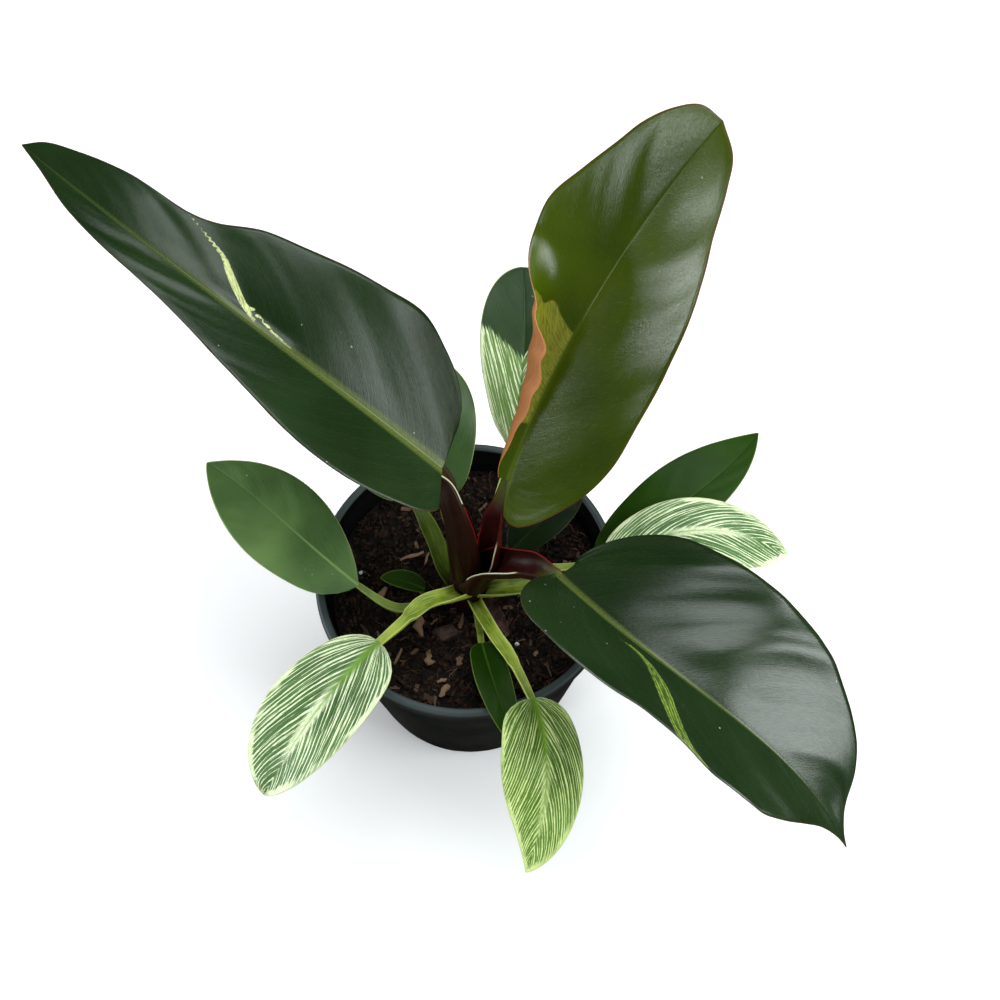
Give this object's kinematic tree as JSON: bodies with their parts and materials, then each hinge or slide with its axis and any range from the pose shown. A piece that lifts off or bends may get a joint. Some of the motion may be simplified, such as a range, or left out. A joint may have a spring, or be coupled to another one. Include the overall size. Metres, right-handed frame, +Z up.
{
  "type": "potted variegated philodendron",
  "caption": "Potted foliage plant: glossy heart-based leaves, some striped cream, on sheathed stalks from a short stem, in dark soil in a round black nursery pot.",
  "frame": {"origin": "middle of the pot's foot, on the surface it stands on", "axes": "+Z up; +X to the right and -Y to the front as a person facing the plant sees it; the upright leaf leans back toward +Y"},
  "size_m": [0.2938, 0.2272, 0.2635],
  "materials": {
    "blade_dark_green": "glossy, near black green",
    "blade_olive_green": "glossy olive green with a copper underside",
    "blade_mid_green": "satin green",
    "blade_striped_green": "satin green with fine cream stripes along the side veins",
    "stalk_lime": "satin lime green",
    "stalk_maroon": "satin dark maroon",
    "dry_scale_red": "dry, papery, dark red",
    "soil_dark_brown": "rough dark potting soil",
    "pot_black_plastic": "moulded black plastic with a soft sheen"
  },
  "bodies": {
    "root": {"dry_scale": "dry_scale_red", "leaf_dark_front": "blade_mid_green", "leaf_green_back": "blade_mid_green", "leaf_large_left": "blade_dark_green", "leaf_large_right": "blade_dark_green", "leaf_large_upright": "blade_olive_green", "leaf_plain_right": "blade_mid_green", "leaf_seedling": "blade_mid_green", "leaf_small_left": "blade_mid_green", "leaf_striped_back": "blade_striped_green", "leaf_striped_front": "blade_striped_green", "leaf_striped_left": "blade_striped_green", "leaf_striped_right": "blade_striped_green", "leaf_under_left": "blade_mid_green", "leaf_under_upright": "blade_mid_green", "nursery_pot": "pot_black_plastic", "soil": "soil_dark_brown", "stalk_dark_front": "stalk_lime", "stalk_green_back": "stalk_lime", "stalk_plain_right": "stalk_lime", "stalk_seedling": "stalk_lime", "stalk_small_left": "stalk_lime", "stalk_striped_back": "stalk_lime", "stalk_striped_front": "stalk_lime", "stalk_striped_left": "stalk_lime", "stalk_striped_right": "stalk_lime", "stalk_under_left": "stalk_lime", "stalk_under_upright": "stalk_lime", "stem": "stalk_maroon"}
  },
  "joints": []
}
